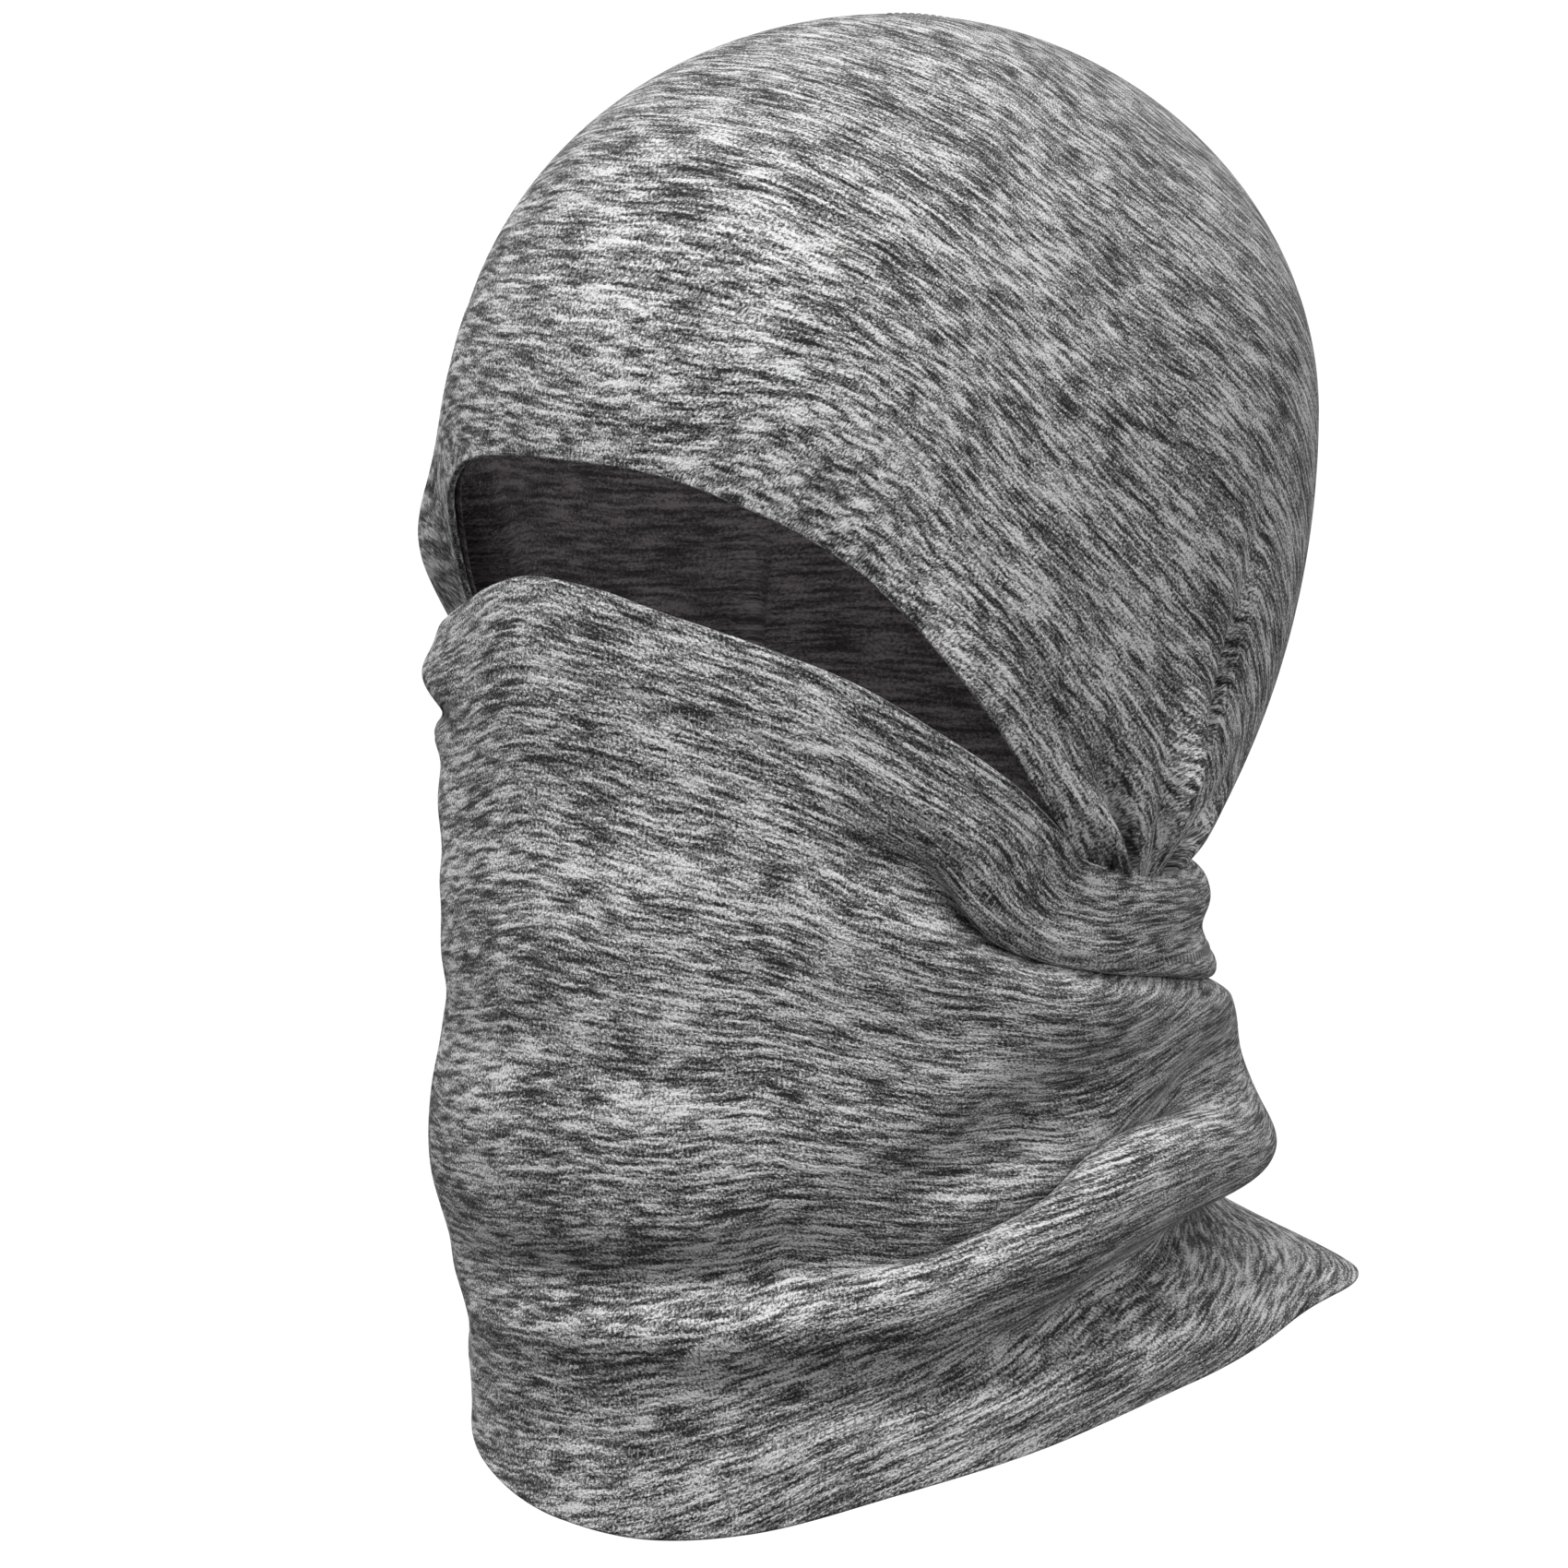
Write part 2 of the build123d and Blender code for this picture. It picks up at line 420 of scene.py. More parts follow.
# At the nape the hood stands close to the tube that it is tucked into.
NAPE_TUCK = 5.0
NAPE_TUCK_FADES = (-1, 6)  # up from the edge, in degrees round the ears
NAPE_TUCK_ALONG = (90, 35)  # its middle and width, in degrees from the left ear

# The seam down the back pulls in: how far, its width, and where it ends ahead of the crown.
SEAM_DENT = 1.1
SEAM_DENT_WIDTH = 2.2
SEAM_SCALE = 1.7  # millimetres in a degree along the line between the ears
SEAM_ENDS = (70, 100)


def egg_size(z, narrowing):
    """The share of the hood's full width or length at this height."""
    drop = np.where(z > WIDEST_Z, (z - WIDEST_Z) / CROWN_H, (WIDEST_Z - z) / narrowing)
    return np.sqrt(np.maximum(1 - drop**2, 1e-6))


def hood_points(turn, along, detailed=True):
    """Places on the hood: turn round the ears' line, and along it from the left ear, in degrees."""
    turn, along = np.broadcast_arrays(np.asarray(turn, float), np.asarray(along, float))
    t, a = np.radians(turn), np.radians(along)
    way = np.stack([np.cos(a), np.sin(a) * np.cos(t), np.sin(a) * np.sin(t)], -1)
    near, far = np.zeros(t.shape), np.full(t.shape, 260.0)
    for _ in range(40):
        mid = (near + far) / 2
        x, y, z = mid * way[..., 0], EAR_Y + mid * way[..., 1], EAR_Z + mid * way[..., 2]
        x, y = x / egg_size(z, JAW_H) / HEAD_HALF_WIDTH, y / egg_size(z, NAPE_H) / HEAD_HALF_LENGTH
        y = y + CROWN_LEAN * np.maximum(z - WIDEST_Z, 0) ** 2
        inside = (np.abs(x) ** SQUARE + np.abs(y) ** SQUARE < 1) & (z < CROWN_Z)
        near, far = np.where(inside, mid, near), np.where(inside, far, mid)
    reach = near + hood_details(turn, along) if detailed else near
    return np.array([0, EAR_Y, EAR_Z]) + reach[..., None] * way


def hood_details(turn, along):
    """The brow hem, the temples, the pleats at the gathers, the tuck and the back seam."""
    side = np.minimum(along, 180 - along)
    from_edge = (brow_turn(along) - turn) * BROW_SCALE
    out = turned_hem(from_edge, BROW_ROW)
    stands, middle, width = LEFT_FLARE
    left = stands * bell(from_edge, middle, width) * bell(side, *LEFT_TEMPLE)
    right = sum(stands * bell(from_edge, middle, width) for stands, middle, width in RIGHT_FLARES)
    right *= bell(side, RIGHT_TEMPLE, np.where(side < RIGHT_TEMPLE, RIGHT_BELOW, RIGHT_ABOVE))
    right *= ramp(side, *RIGHT_STARTS)
    out += np.where(along < 90, left, right)
    for crease, depth, width, reach in PLEATS:
        out -= depth * bell(turn, crease, width) * (1 - ramp(side, PLEAT_FADES, reach))
    for middle, stands, width in LOBES:
        out += stands * bell(turn, middle, width) * bell(side, *LOBES_SIDE)
    out += NAPE_TUCK * (1 - ramp(turn, *NAPE_TUCK_FADES)) * bell(along, *NAPE_TUCK_ALONG)
    seam = bell((along - 90) * SEAM_SCALE, 0, SEAM_DENT_WIDTH) * (1 - ramp(turn, *SEAM_ENDS))
    return out - SEAM_DENT * seam


# ---------------------------------------------------------------- meshes


def surface_normals(grid, closed):
    """Unit normals of a (rows, columns, 3) grid of places, pointing out of the garment."""
    down = np.gradient(grid, axis=0)
    if closed:
        across = (np.roll(grid, -1, 1) - np.roll(grid, 1, 1)) / 2
    else:
        across = np.gradient(grid, axis=1)
    n = np.cross(down, across)
    return n / np.maximum(np.linalg.norm(n, axis=-1, keepdims=True), 1e-9)


def rounded_edge(grid, n, thick, last):
    """Rows that carry an edge of the cloth round from its outside to its inside."""
    edge, before = (-1, -2) if last else (0, 1)
    ahead = grid[edge] - grid[before]
    ahead /= np.maximum(np.linalg.norm(ahead, axis=-1, keepdims=True), 1e-9)
    middle = grid[edge] - thick / 2 * n[edge]
    turns = np.pi * np.arange(1, ROLL_STEPS + 1) / (ROLL_STEPS + 1)
    radius = thick / 2 * EDGE_PUFF
    return np.array([middle + radius * (np.cos(t) * n[edge] + np.sin(t) * ahead) for t in turns])


def shell_loop(grid, cloth, thick, closed):
    """Rows right round a layer of cloth: outside, rounded edge, inside, rounded edge."""
    n = surface_normals(grid, closed)
    inner = grid - thick * n
    end, start = rounded_edge(grid, n, thick, True), rounded_edge(grid, n, thick, False)[::-1]
    # the grain carries on round each edge, and the inside has its own
    step = math.pi * thick / 2 / ROLL_STEPS
    past = np.zeros((ROLL_STEPS, 1, 2))
    past[:, 0, 1] = step * np.arange(1, ROLL_STEPS + 1)
    cloths = [cloth, cloth[-1] + past, cloth[::-1] + 500, cloth[0] - past[::-1]]
    return np.concatenate([grid, end, inner[::-1], start]), np.concatenate(cloths)


def mesh_object(name, verts, faces, material, uv=None):
    """A mesh object from places in millimetres; uv gives each face corner's place in the cloth."""
    mesh = bpy.data.meshes.new(name)
    mesh.from_pydata((np.asarray(verts) * MM).tolist(), [], faces)
    mesh.materials.append(material)
    if uv is not None:
        layer = mesh.uv_layers.new(name="cloth")
        layer.data.foreach_set("uv", np.asarray(uv, np.float32).ravel())
    solid = bmesh.new()
    solid.from_mesh(mesh)
    bmesh.ops.recalc_face_normals(solid, faces=solid.faces)
    solid.to_mesh(mesh)
    solid.free()
    mesh.shade_smooth()
    obj = bpy.data.objects.new(name, mesh)
    bpy.context.scene.collection.objects.link(obj)
    return obj


def shell_object(name, grid, cloth, thick, material, closed):
    """A layer of cloth as one closed mesh. A closed grid joins its last column to its first."""
    loop, uv = shell_loop(grid, cloth, thick, closed)
    rows, columns = loop.shape[:2]
    index = np.arange(rows * columns).reshape(rows, columns)
    # the four corners of the face below and to the right of each place
    ways = [(0, 0), (0, -1), (-1, -1), (-1, 0)]
    quads = np.stack([np.roll(index, way, (0, 1)) for way in ways], -1)
    corners = np.stack([np.roll(uv, way, (0, 1)) for way in ways], 2)
    if not closed:
        quads, corners = quads[:, :-1], corners[:, :-1]
    # where the coordinates start again, the face keeps its first corner's
    first = corners[:, :, :1]
    jump = (np.abs(corners - first) > CLOTH_JUMP).any(-1, keepdims=True)
    corners = np.where(jump, first, corners)
    faces, face_uv = quads.reshape(-1, 4).tolist(), corners.reshape(-1, 2)
    if not closed:
        caps = [end_cap(index[:, column], grid.shape[0]) for column in (0, -1)]
        for cap, column in zip(caps, (0, -1)):
            faces += cap
            face_uv = np.concatenate([face_uv] + [uv[np.searchsorted(index[:, column], f), column]
                                                  for f in cap])
    return mesh_object(name, loop.reshape(-1, 3), faces, material, face_uv)


def end_cap(column, outside):
    """Faces that close one end of a layer of cloth, from the loop of places round that end."""
    inside = [outside + ROLL_STEPS + outside - 1 - i for i in range(outside)]
    quads = [[i, i + 1, inside[i + 1], inside[i]] for i in range(outside - 1)]
    first = [inside[0], *range(inside[0] + 1, len(column)), 0]
    last = list(range(outside - 1, inside[-1] + 1))
    return [[int(column[i]) for i in face] for face in [*quads, first, last]]


def tube_grid(folded=True, start=0.0, end=None, turns=None):
    """Places and cloth coordinates over the tube, from start to end millimetres down it."""
    if turns is None:
        count = int(2 * math.pi * TUBE_RADIUS / COLUMN_STEP)
        turns = -180 + 360 * np.arange(count) / count
    length = tube_length(turns, folded)
    bottom = length if end is None else np.minimum(np.full(turns.shape, float(end)), length)
    rows = int((bottom.max() - start) / ROW_STEP) + 2
    down = start + np.linspace(0, 1, rows)[:, None] * (bottom - start)[None]
    grid = tube_points(turns[None], down, folded)
    # the grain lies along the mask's edge at the top and along the hem at the bottom
    around = np.broadcast_to(np.radians(turns) * TUBE_RADIUS, down.shape)
    share = down / length
    return grid, np.stack([around, GRAIN_LENGTH * share + GRAIN_TWIST * share**2 * around], -1)


def hood_grid(from_brow=0.0, to=None, level=False):
    """Places and cloth coordinates over the hood, in degrees round the ears from the brow edge."""
    along = np.linspace(GATHER_END, 180 - GATHER_END, HOOD_COLUMNS)
    top, bottom = brow_turn(along) - from_brow, nape_turn(along)
    if to is not None:
        bottom = brow_turn(along) - to
    rows = int((top - bottom).max() * HOOD_SCALE / ROW_STEP) + 2
    share = np.linspace(0, 1, rows)[:, None]
    turn = top + share * (bottom - top)
    grid = hood_points(turn, along[None])
    if level:
        return grid, hood_grain(grid, LEVEL_SLOPE, 0.0)
    # near each gather the grain runs in to it, for the pleats take up the cloth's width
    side = np.minimum(along, 180 - along)
    pushed = GATHER_SOFT * np.log1p(np.exp((GATHER_SIDE - side) / GATHER_SOFT))
    sign = np.where(along < 90, 1, -1)
    cloth = hood_grain(hood_points(turn, along + sign * pushed, detailed=False), GRAIN_SLOPE,
                       SEAM_SLANT)
    cloth[..., 0] += GATHER_PULL * sign * pushed
    cloth[..., 1] -= GATHER_TURNED * pushed * np.maximum(GATHER_BACK - turn, 0)
    return grid, cloth


def hood_grain(grid, slope, slant):
    """Cloth coordinates on the hood: round the head, and down from the crown across the grain."""
    x, y, z = np.moveaxis(grid, -1, 0)
    ahead = slope * z - GRAIN_UP * y
    back, behind = (
        GRAIN_TURN_OVER * np.log1p(np.exp((y - start) / GRAIN_TURN_OVER)) for start in GRAIN_TURNS
    )
    # behind the crown the two halves meet at the back seam, each slanting down to it
    halves = 1 - ramp(ahead, *SEAM_AHEAD)
    seam = slant * halves * (HEAD_HALF_WIDTH - np.abs(x))
    across = GRAIN_UP * z + slope * (back - GRAIN_EASES * behind) + seam
    around = np.copysign(np.arctan2(np.abs(x) + SEAM_SHIFT * halves, ahead), x)
    return np.stack([HEAD_HALF_LENGTH * around, 300 - across], -1)


# ---------------------------------------------------------------- materials


def material(name):
    """A new material, with its nodes, its links and its shader."""
    made = bpy.data.materials.new(name)
    made.use_nodes = True
    nodes, links = made.node_tree.nodes, made.node_tree.links
    nodes.clear()
    out = nodes.new("ShaderNodeOutputMaterial")
    shader = nodes.new("ShaderNodeBsdfPrincipled")
    links.new(shader.outputs[0], out.inputs[0])
    return made, nodes, links, shader


class Cloth:
    """The nodes of a cloth material, over the mesh's coordinates in millimetres of cloth."""

    def __init__(self, name):
        self.made, self.nodes, self.links, self.shader = material(name)
        self.place = self.nodes.new("ShaderNodeUVMap")
        self.place.uv_map = "cloth"

    def waver(self, scale, amount):
        """Bend the coordinates from here on, by amount millimetres."""
        bend = self.noise(scale, scale, 0.5)
        shift = self.nodes.new("ShaderNodeVectorMath")
        shift.operation = "MULTIPLY_ADD"
        shift.inputs[1].default_value = (amount, amount, 0)
        self.links.new(bend.outputs["Color"], shift.inputs[0])
        self.links.new(self.place.outputs[0], shift.inputs[2])
        self.place = shift

    def noise(self, u, v, roughness, offset=0.0):
        """A noise with u and v marks to the millimetre along and across the grain."""
        mapping = self.nodes.new("ShaderNodeMapping")
        mapping.inputs["Scale"].default_value = (u, v, 1)
        mapping.inputs["Location"].default_value = (offset, 1.7 * offset, offset)
        self.links.new(self.place.outputs[0], mapping.inputs["Vector"])
        node = self.nodes.new("ShaderNodeTexNoise")
        node.inputs["Scale"].default_value = 1.0
        node.inputs["Detail"].default_value = 2.0
        node.inputs["Roughness"].default_value = roughness
        self.links.new(mapping.outputs[0], node.inputs["Vector"])
        return node

    def math(self, kind, a, b):
        """A sum or a product of two sockets, or of a socket and a number."""
        node = self.nodes.new("ShaderNodeMath")
        node.operation = kind
        for socket, value in zip(node.inputs, (a, b)):
            if isinstance(value, (int, float)):
                socket.default_value = value
            else:
                self.links.new(value, socket)
        return node.outputs[0]

    def mix(self, parts, middle):
        """The sum of noises, each about its own middle and times its weight, round middle."""
        total = middle
        for node, weight in parts:
            centred = self.math("SUBTRACT", node.outputs[0], 0.5)
            total = self.math("ADD", self.math("MULTIPLY", centred, weight), total)
        return total

    def colour(self, tone, stops):
        """Colour the cloth by a tone, through stops of (tone, colour)."""
        ramp_node = self.nodes.new("ShaderNodeValToRGB")
        marks = ramp_node.color_ramp.elements
        while len(marks) < len(stops):
            marks.new(0.5)
        for mark, (position, colour) in zip(marks, stops):
            mark.position, mark.color = position, (*colour, 1)
        self.links.new(tone, ramp_node.inputs[0])
        self.links.new(ramp_node.outputs[0], self.shader.inputs["Base Color"])

    def bump(self, height, strength, distance):
        """Raise the cloth's surface by height, over distance in metres."""
        node = self.nodes.new("ShaderNodeBump")
        node.inputs["Strength"].default_value = strength
        node.inputs["Distance"].default_value = distance
        self.links.new(height, node.inputs["Height"])
        self.links.new(node.outputs[0], self.shader.inputs["Normal"])


def grey(level, warmth=0.0):
    """A grey of this level, a little redder with warmth."""
    return (level * (1 + warmth), level, level * (1 + 0.3 * warmth))


def heather(name, stops, streak_weights, sheen):
    """Brushed heather fleece: dashes along the grain, larger patches, and a looped grain."""
    cloth = Cloth(name)
    cloth.waver(0.02, 6.0)
    cloth.waver(1.1, 0.7)
    streaks = cloth.noise(0.075, 0.7, roughness=0.6)
    dashes = cloth.noise(0.14, 1.0, roughness=0.6, offset=31.0)
    patches = cloth.noise(0.035, 0.10, roughness=0.55, offset=77.0)
    grain = cloth.noise(1.5, 1.7, roughness=0.8, offset=5.0)
    noises = (streaks, dashes, patches, grain)
    cloth.colour(cloth.mix(zip(noises, streak_weights), 0.5), stops)
    loops = cloth.noise(1.2, 1.5, roughness=0.7, offset=13.0)
    cloth.bump(cloth.mix([(loops, 1.0), (streaks, 0.5)], 0.5), strength=1.0, distance=0.0009)
    cloth.shader.inputs["Roughness"].default_value = 0.95
    cloth.shader.inputs["Specular IOR Level"].default_value = 0.15
    cloth.shader.inputs["Sheen Weight"].default_value = sheen
    cloth.shader.inputs["Sheen Roughness"].default_value = 0.5
    return cloth.made


def plain_cloth(name, colour, scale, sheen=0.2):
    """Tape, thread or label cloth, with a fine mottle."""
    made, nodes, links, shader = material(name)
    place = nodes.new("ShaderNodeTexCoord")
    grain = nodes.new("ShaderNodeTexNoise")
    grain.inputs["Scale"].default_value = scale
    grain.inputs["Detail"].default_value = 3.0
    links.new(place.outputs["Object"], grain.inputs["Vector"])
    colours = nodes.new("ShaderNodeValToRGB")
    colours.color_ramp.elements[0].color = (*[0.55 * c for c in colour], 1)
    colours.color_ramp.elements[0].position = 0.3
    colours.color_ramp.elements[1].color = (*colour, 1)
    colours.color_ramp.elements[1].position = 0.7
    links.new(grain.outputs[0], colours.inputs[0])
    links.new(colours.outputs[0], shader.inputs["Base Color"])
    bump = nodes.new("ShaderNodeBump")
    bump.inputs["Strength"].default_value = 0.5
    bump.inputs["Distance"].default_value = 0.0003
    links.new(grain.outputs[0], bump.inputs["Height"])
    links.new(bump.outputs[0], shader.inputs["Normal"])
    shader.inputs["Roughness"].default_value = 0.85
    shader.inputs["Sheen Weight"].default_value = sheen
    return made


FLEECE = heather(
    "heather_fleece",
    stops=[(0.0, grey(0.02)), (0.5, grey(0.215)), (1.0, grey(0.8))],
    streak_weights=(2.4, 2.0, 1.2, 3.5),
    sheen=0.1,
)
DARK = heather(
    "dark_lining",
    stops=[(0.0, grey(0.03, 0.12)), (0.5, grey(0.085, 0.12)), (1.0, grey(0.18, 0.12))],
    streak_weights=(2.2, 2.2, 0.8, 2.6),
    sheen=0.05,
)
THREAD = plain_cloth("sewing_thread", (0.33, 0.33, 0.33), 900)
ELASTIC = plain_cloth("elastic_tape", (0.7, 0.7, 0.7), 700)
LABEL = plain_cloth("label_tape", (0.8, 0.8, 0.78), 500)

# ---------------------------------------------------------------- pieces


def follow(obj, body, slot, *nodes):
    """obj is baked in place for the mask or the hood, and otherwise hung from its body's empty; it
    stands for these CAD nodes.
    """
    if body == "mask":
        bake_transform(obj)
    elif body == "hood":
        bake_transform(obj)
    else:
        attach(obj, body)
    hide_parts(*nodes)
    return obj


def sheet(name, grid, cloth, thick, finish, closed, held, body, slot, *nodes):
    """A layer of cloth as one closed mesh, standing for these CAD nodes."""
    obj = shell_object(name, grid, cloth, thick, finish, closed)
    return follow(obj, body, slot, *nodes)


def tape(name, grid, cloth, body, node):
    """A narrow elastic between the layers, just inside the outer one."""
    grid = inside(grid, False, OUTER + TAPE_GAP)
    follow(shell_object(name, grid, cloth, TAPE, ELASTIC, False), body, "elastic_tape", node)


def inside(grid, closed, depth):
    """The same places, moved in from the outside of the cloth."""
    return grid - depth * surface_normals(grid, closed)


def tube_pieces():
    """The mask and the neck tube, with their lining and the elastics in their top edge."""
    grid, cloth = tube_grid()
    sheet("mask_and_neck_fleece", grid, cloth, OUTER, FLEECE, True, "gathered", "mask",
          "heather_fleece", "mask_outer", "neck_outer")
    grid, cloth = tube_grid(folded=False)
    grid = inside(grid, True, OUTER + LINING_GAP)
    sheet("mask_and_neck_lining", grid[1:-1], cloth[1:-1], LINING, DARK, True, "gathered", "mask",
          "dark_lining", "mask_lining", "neck_lining")
    front = np.linspace(-BAND_TURN, BAND_TURN, 220)
    back = np.linspace(BAND_TURN, 360 - BAND_TURN, 200)
    for name, turns, body, node in [
        ("mask_elastic_band", front, "mask", "mask_elastic"),
        ("nape_elastic_band", back, "neck", "nape_elastic"),
    ]:
        grid, cloth = tube_grid(start=TAPE_FROM_EDGE, end=TAPE_FROM_EDGE + TAPE_WIDTH, turns=turns)
        tape(name, grid, cloth, body, node)


def care_label():
    """A blank label that hangs inside the nape."""
    turns = np.linspace(180 - LABEL_TURN, 180 + LABEL_TURN, 16)
    grid, cloth = tube_grid(False, LABEL_TOP, LABEL_TOP + LABEL_LENGTH, turns)
    grid = inside(grid, False, OUTER + LINING_GAP + LINING + LABEL_GAP)
    sheet("blank_care_label", grid, cloth, LABEL_THICK, LABEL, False, "hung", "neck", "label_tape",
          "care_label")


def hood_pieces():
    """The hood, with its lining and the elastic in its brow edge."""
    grid, cloth = hood_grid()
    sheet("hood_fleece", grid, cloth, OUTER, FLEECE, False, "gathered", "hood", "heather_fleece",
          "hood_outer")
    grid, cloth = hood_grid(LINING_FROM_BROW, level=True)
    grid = inside(grid, False, OUTER + LINING_GAP)
    sheet("hood_lining_cloth", grid, cloth, LINING, DARK, False, "gathered", "hood", "dark_lining",
          "hood_lining")
    start, end = TAPE_FROM_EDGE / BROW_RADIUS, (TAPE_FROM_EDGE + TAPE_WIDTH) / BROW_RADIUS
    grid, cloth = hood_grid(math.degrees(start), math.degrees(end))
    tape("brow_elastic_band", grid, cloth, "hood", "brow_elastic")


def stitch_loop(top, centre, bottom, along):
    """The rings of one sewn loop, which arches out over its centre from top to bottom."""
    across = (top - bottom) / max(np.linalg.norm(top - bottom), 1e-9)
    out = np.cross(along, across)
    if out @ (centre - np.array([0, 0, centre[2]])) < 0:
        out = -out
    places = []
    for share in np.linspace(-1, 1, STITCH_RINGS):
        lift = STITCH_RISE * (1 - share**2) - STITCH_SINK
        middle = centre + across * share * STITCH_SPAN / 2 + out * lift
        radius = STITCH_R * (1.15 if abs(share) < 0.9 else 0.8)
        for k in range(STITCH_SIDES):
            turn = 2 * math.pi * k / STITCH_SIDES
            places.append(middle + radius * (math.cos(turn) * out + math.sin(turn) * along))
    return places


def loop_faces(first):
    """The faces of one sewn loop, whose corners are numbered from first."""
    faces = []
    for ring in range(STITCH_RINGS - 1):
        for k in range(STITCH_SIDES):
            a = first + ring * STITCH_SIDES + k
            b = first + ring * STITCH_SIDES + (k + 1) % STITCH_SIDES
            faces.append([a, b, b + STITCH_SIDES, a + STITCH_SIDES])
    last = first + (STITCH_RINGS - 1) * STITCH_SIDES
    faces.append([first + k for k in range(STITCH_SIDES)][::-1])
    faces.append([last + k for k in range(STITCH_SIDES)])
    return faces


def stitch_row(name, places, body, slot_node):
    """A row of sewn loops across a line of places on the cloth, each a small bent thread."""
    gaps = np.linalg.norm(np.diff(places[1], axis=0), axis=-1)
    run = np.concatenate([[0], np.cumsum(gaps)])
    at = (np.arange(int(run[-1] / STITCH_PITCH)) + 0.5) * STITCH_PITCH
    upper, middle, lower = (
        np.stack([np.interp(at, run, line[:, k]) for k in range(3)], -1) for line in places
    )
    ahead = places[1][np.minimum(np.searchsorted(run, at), len(run) - 1)] - middle
    ahead /= np.maximum(np.linalg.norm(ahead, axis=-1, keepdims=True), 1e-9)
    verts, faces = [], []
    for loop in zip(upper, middle, lower, ahead):
        faces += loop_faces(len(verts))
        verts += stitch_loop(*loop)
    obj = mesh_object(name, verts, faces, THREAD)
    return follow(obj, body, "sewing_thread", slot_node)


def tube_line(turns, down):
    """Three lines on the tube, across a row of stitching: above it, on it and below it."""
    return [tube_points(turns, down + d) for d in (-STITCH_SPAN / 2, 0, STITCH_SPAN / 2)]


def stitches():
    """Every row of sewing, and the seams down the back."""
    front = np.linspace(-BAND_TURN, BAND_TURN, 400)
    back = np.linspace(BAND_TURN, 360 - BAND_TURN, 340)
    right_round = np.linspace(-180, 180, 721)
    for name, turns, down, body, node in [
        ("mask_row", front, np.full(front.shape, MASK_ROW), "mask", "mask_hem_stitching"),
        ("nape_row", back, np.full(back.shape, MASK_ROW), "mask", "nape_seam_stitching"),
        ("hem_row", right_round, tube_length(right_round) - HEM_ROW, "neck",
         "bottom_hem_stitching"),
    ]:
        stitch_row(name, tube_line(turns, down), body, node)
    along = np.linspace(BROW_ROW_STARTS, 180 - BROW_ROW_STARTS, 500)
    half = STITCH_SPAN / 2
    lines = [
        hood_points(brow_turn(along) - np.degrees((BROW_ROW + d) / BROW_RADIUS), along)
        for d in (-half, 0, half)
    ]
    stitch_row("brow_row", lines, "hood", "brow_hem_stitching")
    # the seams down the back of the hood and the neck
    down_back = np.linspace(HOOD_SEAM_STARTS, float(nape_turn(90)) + 1, 300)
    lines = [
        hood_points(down_back, 90 + np.degrees(d / HOOD_SEAM_RADIUS)) for d in (-half, 0, half)
    ]
    stitch_row("hood_seam", lines, "hood", "hood_back_seam")
    down = np.linspace(2, float(tube_length(180)) - 2, 300)
    lines = [
        tube_points(180 + np.degrees(d / NECK_SEAM_RADIUS), down) for d in (-half, 0, half)
    ]
    stitch_row("neck_seam", lines, "mask", "neck_back_seam")


tube_pieces()
care_label()
hood_pieces()
stitches()

# ---------------------------------------------------------------- stage, light and camera

LENS = 350.0
SENSOR = 36.0
DISTANCE = 3.433
AZIMUTH = math.radians(45)
ELEVATION = math.radians(7)
AIM_RIGHT = -0.0230
AIM_UP = -0.0789
FLOOR_Z = -0.42
FLOOR_HALF = 12.0
WHITE = 1.05  # the floor and the background, as the camera sees them
AMBIENT_ABOVE = 0.62
AMBIENT_BELOW = 0.10
AMBIENT_FROM = (-0.6, 0.9)  # how steep a direction gets the first and the last of these
# Soft lights: metres to the camera's right, up and back from the object, then size and watts.
LIGHTS = [
    ("key", -0.7, 1.3, 1.3, 0.5, 29.5),
    ("fill", 1.3, 0.4, 1.5, 1.2, 10.5),
    ("behind", 0.6, 1.1, -1.6, 1.2, 14.0),
]
LIGHTS_AIM = (0, 0, -0.07)
INSIDE_WATTS = 0.13
INSIDE_SIZE = 0.04


def camera_axes():
    """The camera's right, up and backward directions."""
    a, e = AZIMUTH, ELEVATION
    back = Vector((math.sin(a) * math.cos(e), -math.cos(a) * math.cos(e), math.sin(e)))
    right = Vector((math.cos(a), math.sin(a), 0))
    return right, back.cross(right), back


def make_camera():
    """The camera, from the front left and a little above."""
    right, up, back = camera_axes()
    data = bpy.data.cameras.new("camera")
    data.lens, data.sensor_width = LENS, SENSOR
    camera = bpy.data.objects.new("camera", data)
    bpy.context.scene.collection.objects.link(camera)
    camera.location = right * AIM_RIGHT + up * AIM_UP + back * DISTANCE
    camera.rotation_euler = (-back).to_track_quat("-Z", "Y").to_euler()
    bpy.context.scene.camera = camera


def area_light(name, place, size, watts):
    """A round soft light that faces the object."""
    data = bpy.data.lights.new(name, "AREA")
    data.shape, data.size, data.energy = "DISK", size, watts
    light = bpy.data.objects.new(name, data)
    bpy.context.scene.collection.objects.link(light)
    light.location = place
    light.rotation_euler = (Vector(LIGHTS_AIM) - place).to_track_quat("-Z", "Y").to_euler()


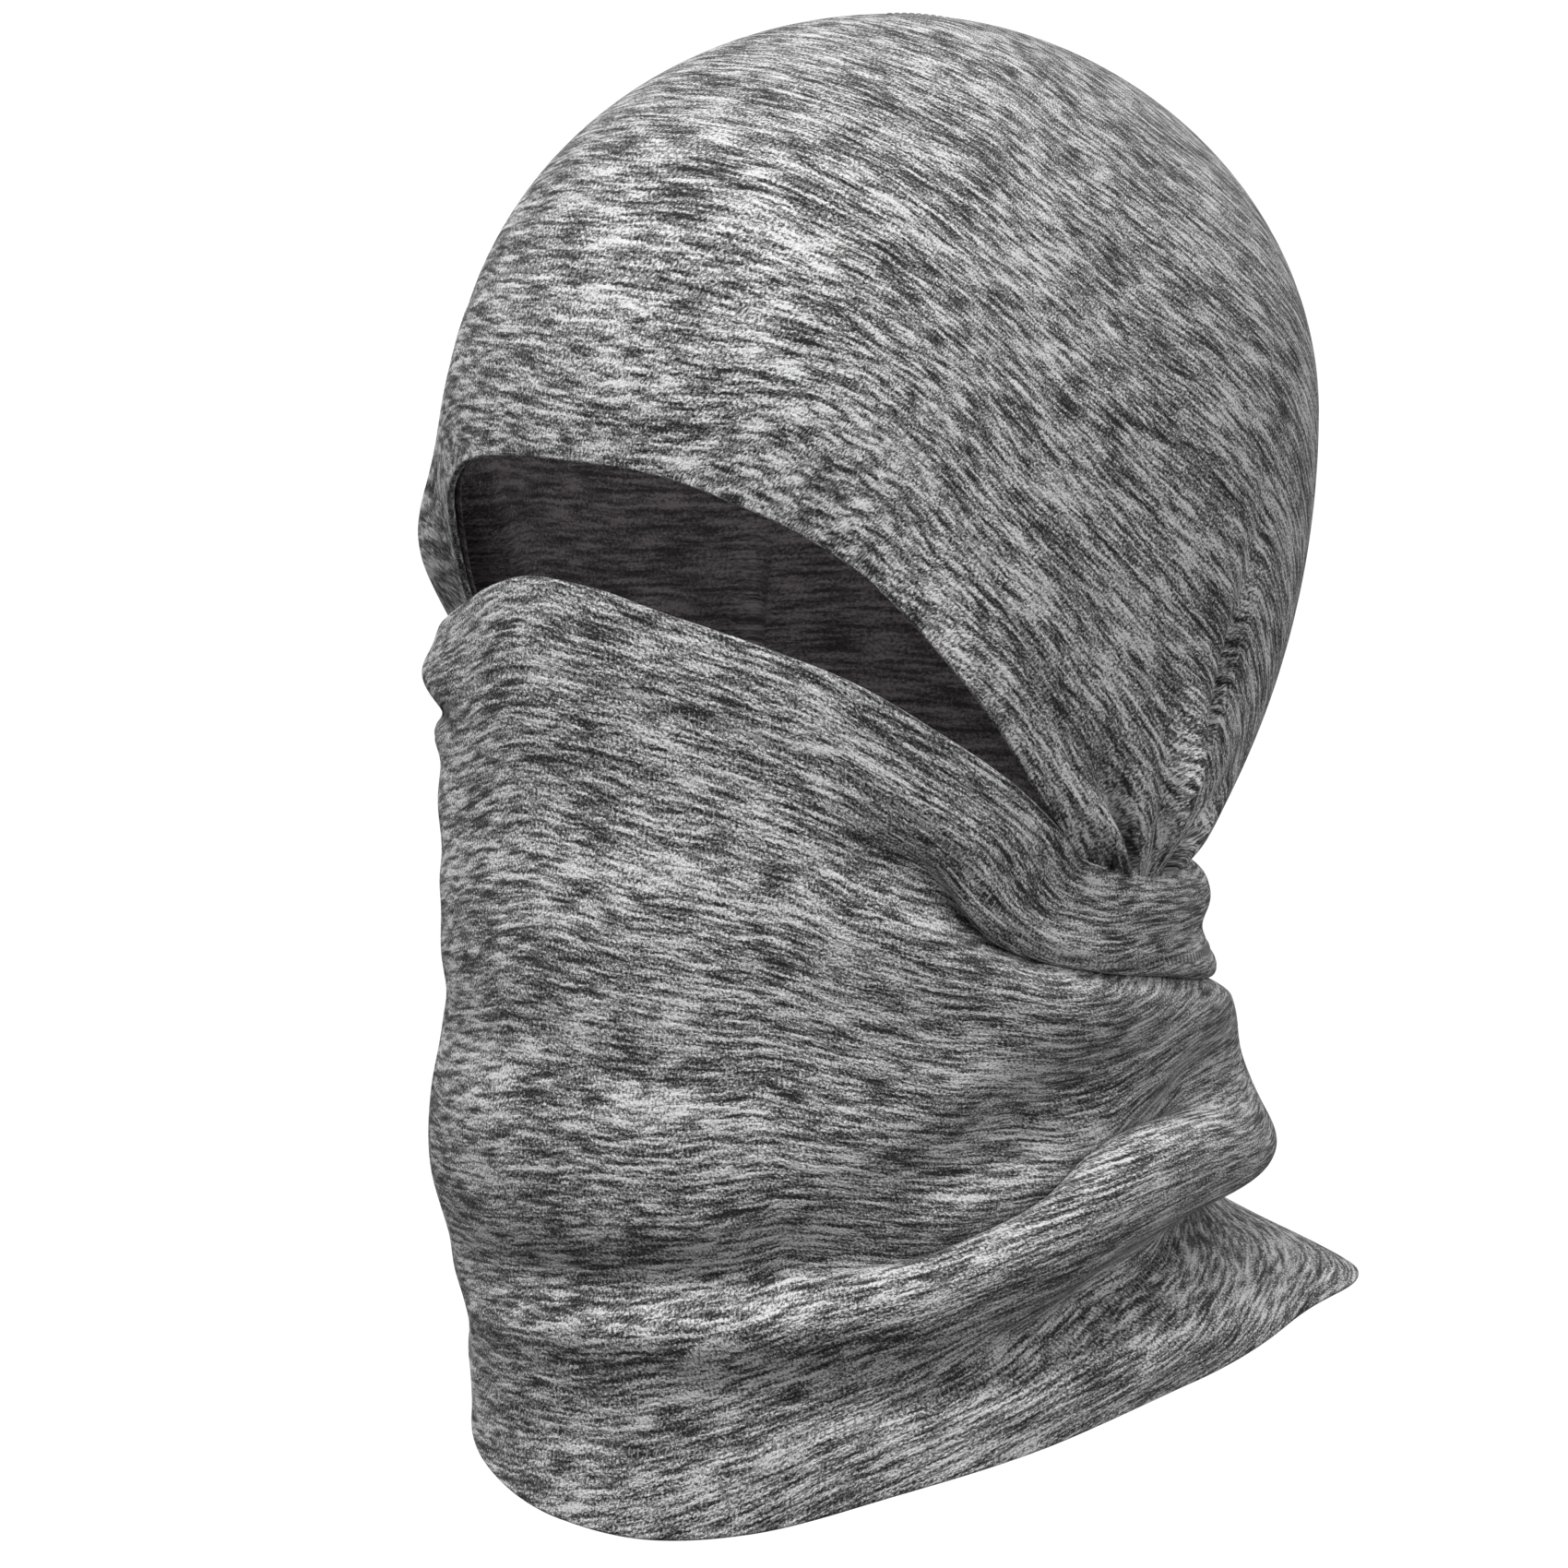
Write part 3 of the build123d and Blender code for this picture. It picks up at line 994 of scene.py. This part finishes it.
def make_floor():
    """A plain white floor, which gives the cloth no light from below."""
    mesh = bpy.data.meshes.new("floor")
    corners = [(-1, -1), (1, -1), (1, 1), (-1, 1)]
    places = [(FLOOR_HALF * x, FLOOR_HALF * y, FLOOR_Z) for x, y in corners]
    mesh.from_pydata(places, [], [(0, 1, 2, 3)])
    floor = bpy.data.objects.new("floor", mesh)
    bpy.context.scene.collection.objects.link(floor)
    pale, _, _, shader = material("floor")
    shader.inputs["Base Color"].default_value = (0, 0, 0, 1)
    shader.inputs["Specular IOR Level"].default_value = 0.0
    shader.inputs["Emission Color"].default_value = (1, 1, 1, 1)
    shader.inputs["Emission Strength"].default_value = WHITE
    mesh.materials.append(pale)
    floor.visible_diffuse = floor.visible_glossy = floor.visible_shadow = False


def make_world():
    """White behind the object, and a softer light from every side on it, more from above."""
    world = bpy.data.worlds.new("studio")
    world.use_nodes = True
    nodes, links = world.node_tree.nodes, world.node_tree.links
    place = nodes.new("ShaderNodeTexCoord")
    height = nodes.new("ShaderNodeSeparateXYZ")
    links.new(place.outputs["Generated"], height.inputs[0])
    light = nodes.new("ShaderNodeMapRange")
    for socket, value in zip(light.inputs[1:5], (*AMBIENT_FROM, AMBIENT_BELOW, AMBIENT_ABOVE)):
        socket.default_value = value
    links.new(height.outputs["Z"], light.inputs[0])
    path = nodes.new("ShaderNodeLightPath")
    seen = nodes.new("ShaderNodeMath")
    seen.operation = "MAXIMUM"
    white = nodes.new("ShaderNodeMath")
    white.operation = "MULTIPLY"
    white.inputs[1].default_value = WHITE
    links.new(path.outputs["Is Camera Ray"], white.inputs[0])
    links.new(white.outputs[0], seen.inputs[0])
    links.new(light.outputs[0], seen.inputs[1])
    background = nodes["Background"]
    background.inputs[0].default_value = (1, 1, 1, 1)
    links.new(seen.outputs[0], background.inputs[1])
    bpy.context.scene.world = world


def make_studio():
    """The floor, the background and the lights."""
    make_floor()
    make_world()
    bpy.context.scene.view_settings.view_transform = "Standard"
    right, up, back = camera_axes()
    for name, x, y, z, size, watts in LIGHTS:
        area_light(name, right * x + up * y + back * z, size, watts)
    # a dim glow in the head cavity, so that the lining can be seen
    data = bpy.data.lights.new("inside", "POINT")
    data.energy, data.shadow_soft_size = INSIDE_WATTS, INSIDE_SIZE
    bpy.context.scene.collection.objects.link(bpy.data.objects.new("inside", data))


make_camera()
make_studio()
